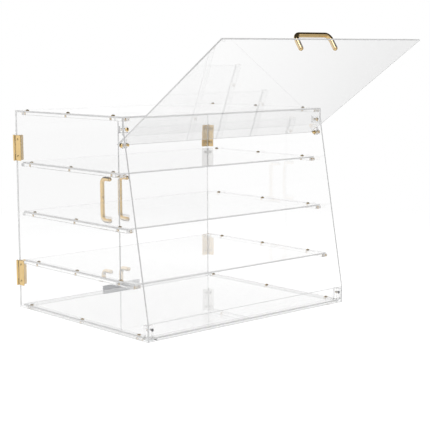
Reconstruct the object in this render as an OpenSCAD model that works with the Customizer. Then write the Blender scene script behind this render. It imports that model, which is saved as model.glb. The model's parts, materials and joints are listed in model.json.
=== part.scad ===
// Clear sheet display case that stands on a counter. The front slopes back
// and carries a lid that swings up, the back has two doors, and three shelves
// stand over the bottom panel. Handles, hinges and screws are gold-coloured.
// Frame: +X to the right, the front faces -Y, +Z up. The origin lies on the
// counter, under the middle of the case's width and depth.
// The lid is drawn held open, the doors closed.

/* [Case] */
// Outer width of the case
case_w = 527; // [440:1:620]
// Outer depth of the case at the counter
case_d = 426; // [416:1:450]
// Outer height of the case
case_h = 410; // [405:1:430]
// Depth of the flat top, from the rear edge to the header
top_d = 359; // [350:1:365]
// Thickness of the clear sheet
sheet_t = 3; // [2.5:0.5:3.5]
// Height of the fixed lip below the lid
lip_h = 33; // [32:1:42]
// Upright part of the front profile, measured down from the top face
brow_h = 19; // [17:1:22]
// Height of the fixed header above the lid
header_h = 31.5; // [30:0.5:33]

/* [Shelves] */
// Height of the bottom panel above the counter
base_gap = 4; // [3.5:0.5:7]
// Height of the lowest shelf's underside above the counter
first_shelf_z = 99; // [85:1:105]
// Distance from one shelf to the next
shelf_pitch = 101.5; // [92:0.5:103]
// Distance from the sloped front to a shelf's front edge
shelf_setback = 29; // [24:1:38]
// Distance from the rear edge of the case to a shelf
shelf_rear_gap = 16.5; // [13:0.5:20]
// Distance from the outer face of a side panel to a shelf
shelf_side_gap = 6.5; // [5:0.5:6.5]

/* [Rails, blocks and screws] */
// Width of a bonded rail
rail_w = 16; // [12:0.5:16]
// Height of the rails under the top and the shelves
rail_h = 6; // [5.5:0.5:10]
// Distance from the rear edge of the case to the top panel's rails
top_rail_gap = 23; // [18:0.5:25]
// Width and depth of a bonded block
block_w = 12; // [12:0.5:16]
// Distance from the outer face of a side panel to the screws
screw_inset = 11; // [11:0.5:12]
// Distances of the top panel's screws from the rear edge
top_screws_at = [29, 172, 317]; // [29:1:337]
// Distances of the upper shelf's screws from the rear edge
upper_screws_at = [43, 181, 317]; // [30:1:325]
// Distances of the middle shelf's screws from the rear edge
middle_screws_at = [50, 195, 335]; // [30:1:340]
// Distances of the lower shelf's screws from the rear edge
lower_screws_at = [60, 195, 335]; // [30:1:360]
// Distances of the bottom panel's screws from the rear edge
bottom_screws_at = [30, 209, 388]; // [30:1:390]
// Distance from the top face down to the header's screws
header_screw_drop = 24; // [22:0.5:25]
// Height of the lip's screws above the counter
lip_screw_z = 22; // [18:1:25]

/* [Lid] */
// Angle of the open lid above the level
lid_open = 33.7; // [0:0.1:38]
// Distance from the top end of the slope down to the lid's pivot
pivot_down = 32.5; // [31:0.5:40]
// Distance from the pivot to the lid's inner face
lug_reach = 7.6; // [7.2:0.1:9]
// Length of the lid behind its pivot
lid_tail = 14; // [11:0.5:14]
// Gap between the lid and each side panel
lid_side_gap = 2; // [1:0.5:4]
// Distance from the lid's free edge back to its handle
lid_handle_inset = 30; // [20:1:60]

/* [Doors] */
// Gap between the two doors
door_split = 1.5; // [1:0.5:3]
// Gap between a door and its side panel
door_side_gap = 0.8; // [0.6:0.1:1.5]
// Gap under the doors
door_foot_gap = 2; // [1:0.5:4]
// Gap between the doors and the top panel
door_head_gap = 1.5; // [1:0.5:4]
// Height of the door handles' middle above the counter
door_handle_z = 205; // [150:1:250]
// Distance from the middle of the case to a door handle
door_handle_x = 24.5; // [20:0.5:60]

/* [Handles] */
// Distance between the two posts of a handle
handle_span = 90; // [64:1:128]
// Thickness of the handle's round bar
handle_rod = 9.5; // [7:0.5:10]
// Distance from the sheet to the bar's centre line
handle_reach = 28; // [22:1:35]
// Bend radius of the bar's centre line
handle_bend = 11; // [8:1:12]

/* [Hinges] */
// Height of a door hinge
hinge_h = 52; // [46:1:60]
// Height of the lower hinges' middle above the counter
lower_hinge_z = 73; // [50:1:90]
// Height of the upper hinges' middle above the counter
upper_hinge_z = 333; // [300:1:345]
// Diameter of the hinge knuckles
knuckle_d = 4.6; // [4.4:0.1:5.5]
// Reach of a hinge leaf from the pin
leaf_reach = 21.5; // [20:0.5:26]

/* [Hidden] */
$fn = 48;
// How far a cutter runs past the face it opens
cut = 1;

// Faces of the case
half_w = case_w / 2;
rear_y = case_d / 2;
front_y = -case_d / 2;
side_in = half_w - sheet_t;
top_z = case_h - sheet_t;
header_y = rear_y - top_d;
header_z = top_z - header_h;

// Sloped front edge of the side panels
brow_z = case_h - brow_h;
slope_run = case_d - top_d;
slope_rise = brow_z - lip_h;
slope_len = norm([slope_run, slope_rise]);
slope_deg = atan2(slope_run, slope_rise);
function slope_y(z) = front_y + (z - lip_h) * slope_run / slope_rise;

// Shelves and the bottom panel
shelf_z = [for (i = [0:2]) first_shelf_z + i * shelf_pitch];
shelf_half_w = half_w - shelf_side_gap;
shelf_rear_y = rear_y - shelf_rear_gap;
function shelf_front_y(z) = slope_y(z + sheet_t / 2) + shelf_setback;
bottom_rear_gap = 6.5;
bottom_z = base_gap + sheet_t;

// M4 button-head screws: shank, head, hexagon socket, hole in the sheet
m4_d = 3.9;
m4_head_d = 7.6;
m4_head_h = 2.2;
m4_socket = 2.5;
m4_hole_d = 4.4;
// M3 button-head screws
m3_d = 2.9;
m3_head_d = 5.7;
m3_head_h = 1.65;
m3_socket = 2;
m3_hole_d = 3.3;
// Upright rim of a button head, below its dome
head_rim = 0.4;
// Height of the solid metal under a screw's socket, in parts of the head
socket_floor = 0.4;
// Hexagon nuts: across the flats and thickness
m3_nut = [5.5, 2.4];
m4_nut = [7, 3.2];

// Threaded brass inserts in the rails and blocks: outside, inside, length
m4_insert = [5.6, 4.1, 6];
m3_insert = [4.6, 3.1, 6];
// Length of the inserts in the rails and in the bottom panel's rails
rail_insert_h = 5;
short_insert_h = 3;
insert_play = 0.1;
insert_groove = 0.4;
bore_spare = 1.5;
m4_screw_len = 8;
m4_short_len = 6;
m3_lip_len = 8;

// Bonded rails and blocks
rail_end_gap = 1;
block_x = side_in - block_w / 2;
screw_x = half_w - screw_inset;
header_block_h = 13;
header_screw_z = case_h - header_screw_drop;
lip_block_top = lip_h - 3;

// Feet under the bottom panel
foot_d = 14;
foot_x = half_w - 13.5;
foot_rear_y = rear_y - 15;
foot_front_y = front_y + 11;
// From a foot's middle to the end of a rail
foot_clear = foot_d / 2 + 2;

// Lid, in its own frame: pivot at the origin, free edge towards -Y,
// outer face upwards
lid_recess = 0.3;
lid_foot_gap = 1.7;
pivot_in = lug_reach + sheet_t + lid_recess;
pivot_y = header_y - pivot_down * sin(slope_deg) + pivot_in * cos(slope_deg);
pivot_z = brow_z - pivot_down * cos(slope_deg) - pivot_in * sin(slope_deg);
lid_len = slope_len - pivot_down - lid_foot_gap;
lid_half_w = side_in - lid_side_gap;
lug_t = 6;
lug_r = 6;
lug_foot = 9;
lug_bore_d = 4.2;
pivot_d = 4.1;
pivot_hole_d = 4.3;
pivot_head_d = 9;
pivot_head_h = 3;
pivot_socket = 3;
washer_d = 9;
pivot_play = 0.3;
nut_x = lid_half_w - lug_t - pivot_play;
cap_r = 3.2;
cap_rise = 0.8;
cap_bore = 5.5;
pivot_len = half_w - nut_x + cap_bore - 0.5;

// Doors
door_proud = 0.3;
door_out_y = rear_y + door_proud;
door_in_y = door_out_y - sheet_t;
door_top_z = top_z - door_head_gap;
door_edge_x = side_in - door_side_gap;
magnet_d = 8;
magnet_h = 2;
magnet_x = 20;
magnet_z = 9;
strike_half_w = 50.5;
strike_z = 1;
strike_top = 16;
strike_gap = 0.8;

// Handles
handle_screw_len = sheet_t + 7;
handle_tap_d = 4.1;
handle_tap_h = 8;

// Door hinges: the pin lies just outside the rear corner of the case
knuckle_r = knuckle_d / 2;
leaf_t = 1.2;
leaf_corner = 2;
pin_d = 2.4;
pin_bore_d = 2.5;
pin_head_d = 3.4;
pin_head_h = 1;
end_knuckle_h = 14;
knuckle_gap = 0.3;
hinge_x = half_w + knuckle_r;
hinge_y = door_out_y + knuckle_r;
hinge_zs = [lower_hinge_z, upper_hinge_z];
leaf_screw_at = 12;
leaf_screw_dz = 17;
hinge_screw_len = leaf_t + sheet_t + m3_nut[1] + 0.4;

// ---- Finishes -------------------------------------------------------------

module clear_sheet() color([0.84, 0.91, 0.93, 0.35]) children();
module clear_block() color([0.76, 0.86, 0.89, 0.55]) children();
module gold() color([0.83, 0.65, 0.33]) children();
module steel() color([0.62, 0.63, 0.65]) children();
module dark_steel() color([0.38, 0.39, 0.42]) children();
module soft_rubber() color([0.82, 0.84, 0.84, 0.8]) children();

// ---- Placing --------------------------------------------------------------

// One copy on each side of the case, the left one mirrored
module both_sides() {
    children();
    left_hand() children();
}

module left_hand() mirror([1, 0, 0]) children();

// From the lid's own frame to its open pose
module on_lid()
    translate([0, pivot_y, pivot_z])
        rotate([-lid_open, 0, 0])
            children();

// A handle's frame on a door: posts towards +Y, bar along Z
module on_door_handle()
    translate([door_handle_x, door_out_y, door_handle_z])
        rotate([-90, 0, 0])
            rotate([0, 0, 90])
                children();

// At the two screws of a leaf, with +Z along dir
module at_leaf_screws(dir_turn)
    for (z = hinge_zs, dz = [-leaf_screw_dz, leaf_screw_dz])
        translate([0, 0, z + dz])
            rotate(dir_turn)
                children();

// ---- Hardware -------------------------------------------------------------

// Button-head screw: the head sits on Z = 0, the shank runs down from it
module button_screw(d, len, head_d, head_h, socket) {
    dome_h = head_h - head_rim;
    dome_r = (pow(head_d / 2, 2) + pow(dome_h, 2)) / (2 * dome_h);
    difference() {
        union() {
            intersection() {
                cylinder(d = head_d, h = head_h);
                translate([0, 0, head_h - dome_r]) sphere(r = dome_r);
            }
            translate([0, 0, -len]) cylinder(d = d, h = len);
        }
        translate([0, 0, head_h * socket_floor])
            cylinder(d = socket / cos(30), h = head_h, $fn = 6);
    }
}

module m4_screw(len) button_screw(m4_d, len, m4_head_d, m4_head_h, m4_socket);

module m3_screw(len) button_screw(m3_d, len, m3_head_d, m3_head_h, m3_socket);

// Threaded insert, from Z = 0 down
module insert(size, h)
    translate([0, 0, -h])
        difference() {
            cylinder(d = size[0], h = h);
            translate([0, 0, -cut]) cylinder(d = size[1], h = h + 2 * cut);
            translate([0, 0, h / 2 - insert_groove])
                difference() {
                    cylinder(d = size[0] + cut, h = 2 * insert_groove);
                    cylinder(d = size[0] - insert_groove, h = 2 * insert_groove);
                }
        }

// Hexagon nut, from Z = 0 down
module hex_nut(size, hole_d)
    translate([0, 0, -size[1]])
        difference() {
            cylinder(d = size[0] / cos(30), h = size[1], $fn = 6);
            translate([0, 0, -cut]) cylinder(d = hole_d, h = size[1] + 2 * cut);
        }

// Round-bar handle: posts stand on Z = 0, bar along X
module bar_handle() {
    half = handle_span / 2;
    difference() {
        union() {
            for (side = [-1, 1]) {
                translate([side * half, 0, 0])
                    cylinder(d = handle_rod, h = handle_reach - handle_bend);
                translate([side * (half - handle_bend), 0, handle_reach - handle_bend])
                    rotate([90, 0, 0])
                        rotate([0, 0, side > 0 ? 0 : 90])
                            rotate_extrude(angle = 90)
                                translate([handle_bend, 0]) circle(d = handle_rod);
            }
            translate([-half + handle_bend, 0, handle_reach])
                rotate([0, 90, 0])
                    cylinder(d = handle_rod, h = handle_span - 2 * handle_bend);
        }
        for (side = [-1, 1])
            translate([side * half, 0, -cut])
                cylinder(d = handle_tap_d, h = handle_tap_h + cut);
    }
}

// Screws of a handle: heads on the far face of the sheet
module handle_screws()
    for (side = [-1, 1])
        translate([side * handle_span / 2, 0, -sheet_t])
            rotate([180, 0, 0])
                m4_screw(handle_screw_len);

// Holes through the sheet for a handle
module handle_holes()
    for (side = [-1, 1])
        translate([side * handle_span / 2, 0, -sheet_t - cut])
            cylinder(d = m4_hole_d, h = sheet_t + 2 * cut);

// ---- Case panels ----------------------------------------------------------

// Flat panel with screw holes near both ends, underside at z
module screwed_plate(half_x, y_front, y_rear, z, screws_at)
    difference() {
        translate([-half_x, y_front, z])
            cube([2 * half_x, y_rear - y_front, sheet_t]);
        both_sides()
            for (y = screws_at)
                translate([screw_x, rear_y - y, z - cut])
                    cylinder(d = m4_hole_d, h = sheet_t + 2 * cut);
    }

// Right side panel; its profile is drawn in Y and Z and runs along X
module side_panel()
    clear_sheet()
    difference() {
        translate([side_in, 0, 0])
            rotate([90, 0, 90])
                linear_extrude(sheet_t)
                    polygon([
                        [rear_y, 0], [front_y, 0], [front_y, lip_h],
                        [header_y, brow_z], [header_y, top_z], [rear_y, top_z]
                    ]);
        translate([side_in - cut, pivot_y, pivot_z])
            rotate([0, 90, 0])
                cylinder(d = pivot_hole_d, h = sheet_t + 2 * cut);
        translate([side_in - cut, hinge_y - leaf_screw_at, 0])
            at_leaf_screws([0, 90, 0])
                cylinder(d = m3_hole_d, h = sheet_t + 2 * cut);
    }

module right_side_panel() side_panel();

module left_side_panel() left_hand() side_panel();

module top_panel()
    clear_sheet() screwed_plate(half_w, header_y, rear_y, top_z, top_screws_at);

module bottom_panel()
    clear_sheet()
    screwed_plate(shelf_half_w, front_y + sheet_t, rear_y - bottom_rear_gap,
                  base_gap, bottom_screws_at);

module header_panel()
    clear_sheet()
    difference() {
        translate([-side_in, header_y, header_z])
            cube([2 * side_in, sheet_t, header_h]);
        both_sides()
            translate([screw_x, header_y - cut, header_screw_z])
                rotate([-90, 0, 0])
                    cylinder(d = m4_hole_d, h = sheet_t + 2 * cut);
    }

module front_lip()
    clear_sheet()
    difference() {
        translate([-side_in, front_y, 0]) cube([2 * side_in, sheet_t, lip_h]);
        both_sides()
            translate([screw_x, front_y - cut, lip_screw_z])
                rotate([-90, 0, 0])
                    cylinder(d = m3_hole_d, h = sheet_t + 2 * cut);
    }

module shelf(i, screws_at)
    clear_sheet()
    screwed_plate(shelf_half_w, shelf_front_y(shelf_z[i]), shelf_rear_y,
                  shelf_z[i], screws_at);

module lower_shelf() shelf(0, lower_screws_at);

module middle_shelf() shelf(1, middle_screws_at);

module upper_shelf() shelf(2, upper_screws_at);

// ---- Bonded rails and blocks, inserts and screws --------------------------

// Rails on both side panels, under a plate whose underside is at z
module side_rails(y_front, y_rear, z, h, screws_at)
    clear_block()
    both_sides()
        difference() {
            translate([side_in - rail_w, y_front, z - h])
                cube([rail_w, y_rear - y_front, h]);
            for (y = screws_at)
                translate([screw_x, rear_y - y, z - h - cut])
                    cylinder(d = m4_insert[0] + insert_play, h = h + 2 * cut);
        }

module top_panel_rails()
    side_rails(header_y + sheet_t + rail_end_gap, rear_y - top_rail_gap, top_z,
               rail_h, top_screws_at);

module shelf_rails(i, screws_at)
    side_rails(shelf_front_y(shelf_z[i]), shelf_rear_y, shelf_z[i], rail_h,
               screws_at);

module upper_shelf_rails() shelf_rails(2, upper_screws_at);

module middle_shelf_rails() shelf_rails(1, middle_screws_at);

module lower_shelf_rails() shelf_rails(0, lower_screws_at);

// The rails under the bottom panel stop short of the feet
module bottom_panel_rails()
    side_rails(foot_front_y + foot_clear, foot_rear_y - foot_clear, base_gap,
               base_gap, bottom_screws_at);

// Rails along the front and the rear of the bottom panel
module bottom_cross_rails()
    clear_block()
    for (y = [front_y + sheet_t, rear_y - bottom_rear_gap - rail_w])
        translate([-foot_x + foot_clear, y, 0])
            cube([2 * (foot_x - foot_clear), rail_w, base_gap]);

// Blocks behind an upright panel whose inner face is at y
module upright_blocks(y, z_low, z_high, screw_z, insert_size)
    clear_block()
    both_sides()
        difference() {
            translate([block_x - block_w / 2, y, z_low])
                cube([block_w, block_w, z_high - z_low]);
            translate([screw_x, y - cut, screw_z])
                rotate([-90, 0, 0])
                    cylinder(d = insert_size[0] + insert_play,
                             h = insert_size[2] + bore_spare + cut);
        }

module header_blocks()
    upright_blocks(header_y + sheet_t, header_screw_z - header_block_h / 2,
                   header_screw_z + header_block_h / 2, header_screw_z, m4_insert);

module front_lip_blocks()
    upright_blocks(front_y + sheet_t, bottom_z, lip_block_top, lip_screw_z,
                   m3_insert);

module plate_inserts(screws_at, z, h)
    for (y = screws_at)
        translate([screw_x, rear_y - y, z]) insert(m4_insert, h);

module upright_insert(y, z, size)
    translate([screw_x, y, z])
        rotate([90, 0, 0])
            insert(size, size[2]);

module threaded_inserts()
    gold()
    both_sides() {
        plate_inserts(top_screws_at, top_z, rail_insert_h);
        plate_inserts(upper_screws_at, shelf_z[2], rail_insert_h);
        plate_inserts(middle_screws_at, shelf_z[1], rail_insert_h);
        plate_inserts(lower_screws_at, shelf_z[0], rail_insert_h);
        plate_inserts(bottom_screws_at, base_gap, short_insert_h);
        upright_insert(header_y + sheet_t, header_screw_z, m4_insert);
        upright_insert(front_y + sheet_t, lip_screw_z, m3_insert);
    }

module plate_screws(screws_at, z, len)
    gold()
    both_sides()
        for (y = screws_at)
            translate([screw_x, rear_y - y, z + sheet_t])
                m4_screw(len);

module top_panel_screws() plate_screws(top_screws_at, top_z, m4_screw_len);

module upper_shelf_screws() plate_screws(upper_screws_at, shelf_z[2], m4_screw_len);

module middle_shelf_screws() plate_screws(middle_screws_at, shelf_z[1], m4_screw_len);

module lower_shelf_screws() plate_screws(lower_screws_at, shelf_z[0], m4_screw_len);

module bottom_panel_screws() plate_screws(bottom_screws_at, base_gap, m4_short_len);

module header_screws()
    gold()
    both_sides()
        translate([screw_x, header_y, header_screw_z])
            rotate([90, 0, 0])
                m4_screw(m4_screw_len);

module front_lip_screws()
    dark_steel()
    both_sides()
        translate([screw_x, front_y, lip_screw_z])
            rotate([90, 0, 0])
                m3_screw(m3_lip_len);

module feet()
    soft_rubber()
    both_sides()
        for (y = [foot_front_y, foot_rear_y])
            translate([foot_x, y, 0])
                cylinder(d = foot_d, h = base_gap);

// Steel plate that stops the doors and holds their magnets
module door_strike_plate()
    steel()
    translate([-strike_half_w, rear_y - bottom_rear_gap, strike_z])
        cube([2 * strike_half_w, door_in_y - strike_gap - rear_y + bottom_rear_gap,
              strike_top - strike_z]);

// ---- Door hinges ----------------------------------------------------------

// Leaf plate in the X-Z plane: pin on the Z axis, reaching towards +X
module leaf_plate()
    translate([0, knuckle_r, -hinge_h / 2])
        rotate([90, 0, 0])
            linear_extrude(leaf_t) {
                square([leaf_reach - leaf_corner, hinge_h]);
                translate([0, leaf_corner])
                    square([leaf_reach, hinge_h - 2 * leaf_corner]);
                for (z = [leaf_corner, hinge_h - leaf_corner])
                    translate([leaf_reach - leaf_corner, z]) circle(r = leaf_corner);
            }

// Stretches of the barrel that the end knuckles fill, as low and high Z
end_stretches = [
    [-hinge_h / 2, -hinge_h / 2 + end_knuckle_h],
    [hinge_h / 2 - end_knuckle_h, hinge_h / 2]
];
// Stretch that the middle knuckle fills
middle_stretches = [[
    -hinge_h / 2 + end_knuckle_h + knuckle_gap,
    hinge_h / 2 - end_knuckle_h - knuckle_gap
]];

// Hinge leaf in the same place as leaf_plate, with knuckles on its own
// stretches of the barrel and room for the other leaf's knuckles
module hinge_leaf(own, other)
    difference() {
        union() {
            difference() {
                leaf_plate();
                for (s = other)
                    translate([-cut, 0, s[0] - knuckle_gap])
                        cube([cut + knuckle_r + knuckle_gap, knuckle_r + cut,
                              s[1] - s[0] + 2 * knuckle_gap]);
            }
            for (s = own)
                translate([0, 0, s[0]]) cylinder(d = knuckle_d, h = s[1] - s[0]);
        }
        translate([0, 0, -hinge_h / 2 - cut])
            cylinder(d = pin_bore_d, h = hinge_h + 2 * cut);
        for (z = [-leaf_screw_dz, leaf_screw_dz])
            translate([leaf_screw_at, 0, z])
                rotate([-90, 0, 0])
                    cylinder(d = m3_hole_d, h = knuckle_r + cut);
    }

// Right-hand leaf on the side panel's outer face
module case_leaf(z)
    gold()
    translate([hinge_x, hinge_y, z])
        rotate([0, 0, 90])
            mirror([1, 0, 0])
                hinge_leaf(end_stretches, middle_stretches);

// Right-hand leaf on the door's outer face
module door_leaf(z)
    gold()
    translate([hinge_x, hinge_y, z])
        rotate([0, 0, 180])
            hinge_leaf(middle_stretches, end_stretches);

module right_upper_hinge_case_leaf() case_leaf(upper_hinge_z);

module right_lower_hinge_case_leaf() case_leaf(lower_hinge_z);

module left_upper_hinge_case_leaf() left_hand() case_leaf(upper_hinge_z);

module left_lower_hinge_case_leaf() left_hand() case_leaf(lower_hinge_z);

module right_upper_hinge_door_leaf() door_leaf(upper_hinge_z);

module right_lower_hinge_door_leaf() door_leaf(lower_hinge_z);

module left_upper_hinge_door_leaf() left_hand() door_leaf(upper_hinge_z);

module left_lower_hinge_door_leaf() left_hand() door_leaf(lower_hinge_z);

module hinge_pins()
    gold()
    for (z = hinge_zs)
        translate([hinge_x, hinge_y, z]) {
            translate([0, 0, -hinge_h / 2]) cylinder(d = pin_d, h = hinge_h);
            translate([0, 0, hinge_h / 2]) cylinder(d = pin_head_d, h = pin_head_h);
            translate([0, 0, -hinge_h / 2 - pin_head_h])
                cylinder(d = pin_head_d, h = pin_head_h);
        }

module right_hinge_pins() hinge_pins();

module left_hinge_pins() left_hand() hinge_pins();

module hinge_case_screws()
    gold()
    translate([half_w + leaf_t, hinge_y - leaf_screw_at, 0])
        at_leaf_screws([0, 90, 0])
            m3_screw(hinge_screw_len);

module right_hinge_case_screws() hinge_case_screws();

module left_hinge_case_screws() left_hand() hinge_case_screws();

module hinge_case_nuts()
    gold()
    translate([side_in, hinge_y - leaf_screw_at, 0])
        at_leaf_screws([0, 90, 0])
            hex_nut(m3_nut, m3_hole_d);

module right_hinge_case_nuts() hinge_case_nuts();

module left_hinge_case_nuts() left_hand() hinge_case_nuts();

module hinge_door_screws()
    gold()
    translate([hinge_x - leaf_screw_at, door_out_y + leaf_t, 0])
        at_leaf_screws([-90, 0, 0])
            m3_screw(hinge_screw_len);

module right_hinge_door_screws() hinge_door_screws();

module left_hinge_door_screws() left_hand() hinge_door_screws();

module hinge_door_nuts()
    gold()
    translate([hinge_x - leaf_screw_at, door_in_y, 0])
        at_leaf_screws([-90, 0, 0])
            hex_nut(m3_nut, m3_hole_d);

module right_hinge_door_nuts() hinge_door_nuts();

module left_hinge_door_nuts() left_hand() hinge_door_nuts();

// ---- Doors ----------------------------------------------------------------

module door()
    clear_sheet()
    difference() {
        translate([door_split / 2, door_in_y, door_foot_gap])
            cube([door_edge_x - door_split / 2, sheet_t, door_top_z - door_foot_gap]);
        on_door_handle() handle_holes();
        translate([hinge_x - leaf_screw_at, door_in_y - cut, 0])
            at_leaf_screws([-90, 0, 0])
                cylinder(d = m3_hole_d, h = sheet_t + 2 * cut);
        translate([magnet_x, door_in_y - cut, magnet_z])
            rotate([-90, 0, 0])
                cylinder(d = magnet_d + insert_play, h = magnet_h + insert_play + cut);
    }

module right_door() door();

module left_door() left_hand() door();

module door_magnet()
    steel()
    translate([magnet_x, door_in_y, magnet_z])
        rotate([-90, 0, 0])
            cylinder(d = magnet_d, h = magnet_h);

module right_door_magnet() door_magnet();

module left_door_magnet() left_hand() door_magnet();

module right_door_handle() gold() on_door_handle() bar_handle();

module left_door_handle() left_hand() right_door_handle();

module right_door_handle_screws() gold() on_door_handle() handle_screws();

module left_door_handle_screws() left_hand() right_door_handle_screws();

// ---- Lid ------------------------------------------------------------------

// Middle of the lid's handle on the lid's outer face
module on_lid_handle()
    on_lid()
        translate([0, -lid_len + lid_handle_inset, lug_reach + sheet_t])
            children();

module lid()
    clear_sheet()
    difference() {
        on_lid()
            translate([-lid_half_w, -lid_len, lug_reach])
                cube([2 * lid_half_w, lid_len + lid_tail, sheet_t]);
        on_lid_handle() handle_holes();
    }

// Bonded lugs that hold the lid on its two pivot screws
module lid_hinge_lugs()
    clear_block()
    both_sides()
        on_lid()
            translate([lid_half_w - lug_t, 0, 0])
                rotate([90, 0, 90])
                    linear_extrude(lug_t)
                        difference() {
                            union() {
                                circle(r = lug_r);
                                polygon([
                                    [-lug_r, 0], [lug_r, 0],
                                    [lug_foot, lug_reach], [-lug_foot, lug_reach]
                                ]);
                            }
                            circle(d = lug_bore_d);
                        }

module lid_handle() gold() on_lid_handle() bar_handle();

module lid_handle_screws() gold() on_lid_handle() handle_screws();

module at_pivot(x)
    translate([x, pivot_y, pivot_z])
        rotate([0, 90, 0])
            children();

module lid_pivot_screws()
    gold()
    both_sides()
        at_pivot(half_w)
            button_screw(pivot_d, pivot_len, pivot_head_d, pivot_head_h,
                         pivot_socket);

module lid_pivot_washers()
    soft_rubber()
    both_sides()
        at_pivot(lid_half_w + pivot_play)
            difference() {
                cylinder(d = washer_d, h = lid_side_gap - pivot_play);
                translate([0, 0, -cut])
                    cylinder(d = pivot_hole_d, h = lid_side_gap + 2 * cut);
            }

// Cap nuts on the inner ends of the pivot screws
module lid_pivot_nuts()
    gold()
    both_sides()
        at_pivot(nut_x)
            difference() {
                union() {
                    translate([0, 0, -m4_nut[1]])
                        cylinder(d = m4_nut[0] / cos(30), h = m4_nut[1], $fn = 6);
                    translate([0, 0, -m4_nut[1] - cap_rise])
                        cylinder(r = cap_r, h = m4_nut[1] + cap_rise);
                    translate([0, 0, -m4_nut[1] - cap_rise]) sphere(r = cap_r);
                }
                translate([0, 0, -cap_bore])
                    cylinder(d = pivot_hole_d, h = cap_bore + cut);
            }

// ---- Assembly -------------------------------------------------------------

left_side_panel();
right_side_panel();
top_panel();
bottom_panel();
header_panel();
front_lip();
upper_shelf();
middle_shelf();
lower_shelf();
top_panel_rails();
upper_shelf_rails();
middle_shelf_rails();
lower_shelf_rails();
bottom_panel_rails();
bottom_cross_rails();
header_blocks();
front_lip_blocks();
threaded_inserts();
top_panel_screws();
upper_shelf_screws();
middle_shelf_screws();
lower_shelf_screws();
bottom_panel_screws();
header_screws();
front_lip_screws();
feet();
door_strike_plate();
left_upper_hinge_case_leaf();
left_lower_hinge_case_leaf();
right_upper_hinge_case_leaf();
right_lower_hinge_case_leaf();
left_hinge_pins();
right_hinge_pins();
left_hinge_case_screws();
right_hinge_case_screws();
left_hinge_case_nuts();
right_hinge_case_nuts();
lid_pivot_screws();
lid_pivot_nuts();
lid_pivot_washers();
left_door();
right_door();
left_upper_hinge_door_leaf();
left_lower_hinge_door_leaf();
right_upper_hinge_door_leaf();
right_lower_hinge_door_leaf();
left_hinge_door_screws();
right_hinge_door_screws();
left_hinge_door_nuts();
right_hinge_door_nuts();
left_door_handle();
right_door_handle();
left_door_handle_screws();
right_door_handle_screws();
left_door_magnet();
right_door_magnet();
lid();
lid_hinge_lugs();
lid_handle();
lid_handle_screws();
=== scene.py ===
"""Finished pieces and materials for a clear sheet display case on a counter.

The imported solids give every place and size. Each operator makes one kind of
piece over them: sheets with polished edges, drilled rails, threaded screws
and inserts, bent handles and rolled hinges. The stage operator sets up the
camera, the lights and the floor.
"""

import json
import math

import bmesh
import bpy
from bpy.props import FloatProperty, FloatVectorProperty, PointerProperty
from mathutils import Matrix, Vector


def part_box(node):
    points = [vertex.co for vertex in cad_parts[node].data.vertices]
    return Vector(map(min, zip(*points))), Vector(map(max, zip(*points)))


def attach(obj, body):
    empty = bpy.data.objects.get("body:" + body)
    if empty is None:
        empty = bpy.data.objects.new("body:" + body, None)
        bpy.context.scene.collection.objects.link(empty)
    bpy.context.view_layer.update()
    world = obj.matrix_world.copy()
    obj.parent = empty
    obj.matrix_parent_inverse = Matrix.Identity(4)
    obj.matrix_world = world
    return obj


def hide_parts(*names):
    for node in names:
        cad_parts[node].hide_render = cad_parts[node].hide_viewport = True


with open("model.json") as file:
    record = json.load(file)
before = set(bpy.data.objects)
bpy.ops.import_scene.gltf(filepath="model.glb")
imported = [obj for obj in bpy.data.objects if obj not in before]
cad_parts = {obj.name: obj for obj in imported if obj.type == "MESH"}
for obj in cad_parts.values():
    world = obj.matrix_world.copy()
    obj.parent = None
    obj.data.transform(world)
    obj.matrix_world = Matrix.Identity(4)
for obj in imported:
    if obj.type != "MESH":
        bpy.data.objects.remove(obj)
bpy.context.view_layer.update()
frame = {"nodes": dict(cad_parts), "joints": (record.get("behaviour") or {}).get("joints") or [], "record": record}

bl_info = {
    "name": "Display case finishes",
    "version": (1, 0, 0),
    "blender": (4, 5, 0),
    "location": "3D View > Sidebar > Display case",
    "description": "Makes the finished pieces of a clear sheet display case",
    "category": "Object",
}

MM = 0.001
TURN = 2 * math.pi

BODY_OF = {
    node: body
    for body, nodes in frame["record"]["behaviour"]["bodies"].items()
    for node in nodes
}
JOINT_AT = {joint["name"]: Vector(joint["pos_m"]) for joint in frame["joints"]}


# ---- Frames and boxes -------------------------------------------------------


def axes(x, y, at=(0, 0, 0)):
    """Frame whose X and Y run along two directions at right angles."""
    x, y = Vector(x), Vector(y)
    return Matrix.Translation(at) @ Matrix((x, y, x.cross(y))).transposed().to_4x4()


def largest_normal(node):
    """Normal of a flat node's largest face, turned to point up."""
    faces = frame["nodes"][node].data.polygons
    normal = max(faces, key=lambda face: face.area).normal.copy()
    return normal if normal.z > 0 else -normal


# Each frame is named for the way that its Z axis points
UP = axes((1, 0, 0), (0, 1, 0))
FRONT = axes((1, 0, 0), (0, 0, 1))
REAR = axes((1, 0, 0), (0, 0, -1))
RIGHT = axes((0, 1, 0), (0, 0, 1))
LEFT = axes((0, 1, 0), (0, 0, -1))
LID_NORMAL = largest_normal("lid")
LID_RUN = LID_NORMAL.cross((1, 0, 0))
LID_OUT = axes((1, 0, 0), LID_RUN, JOINT_AT["lid_hinge"])
LID_IN = axes((1, 0, 0), -LID_RUN, JOINT_AT["lid_hinge"])
LID_ALONG = axes(LID_RUN, LID_NORMAL, JOINT_AT["lid_hinge"])


def extent(points):
    """Low and high corners round some points."""
    low = Vector([min(point[i] for point in points) for i in range(3)])
    high = Vector([max(point[i] for point in points) for i in range(3)])
    return low, high


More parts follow.
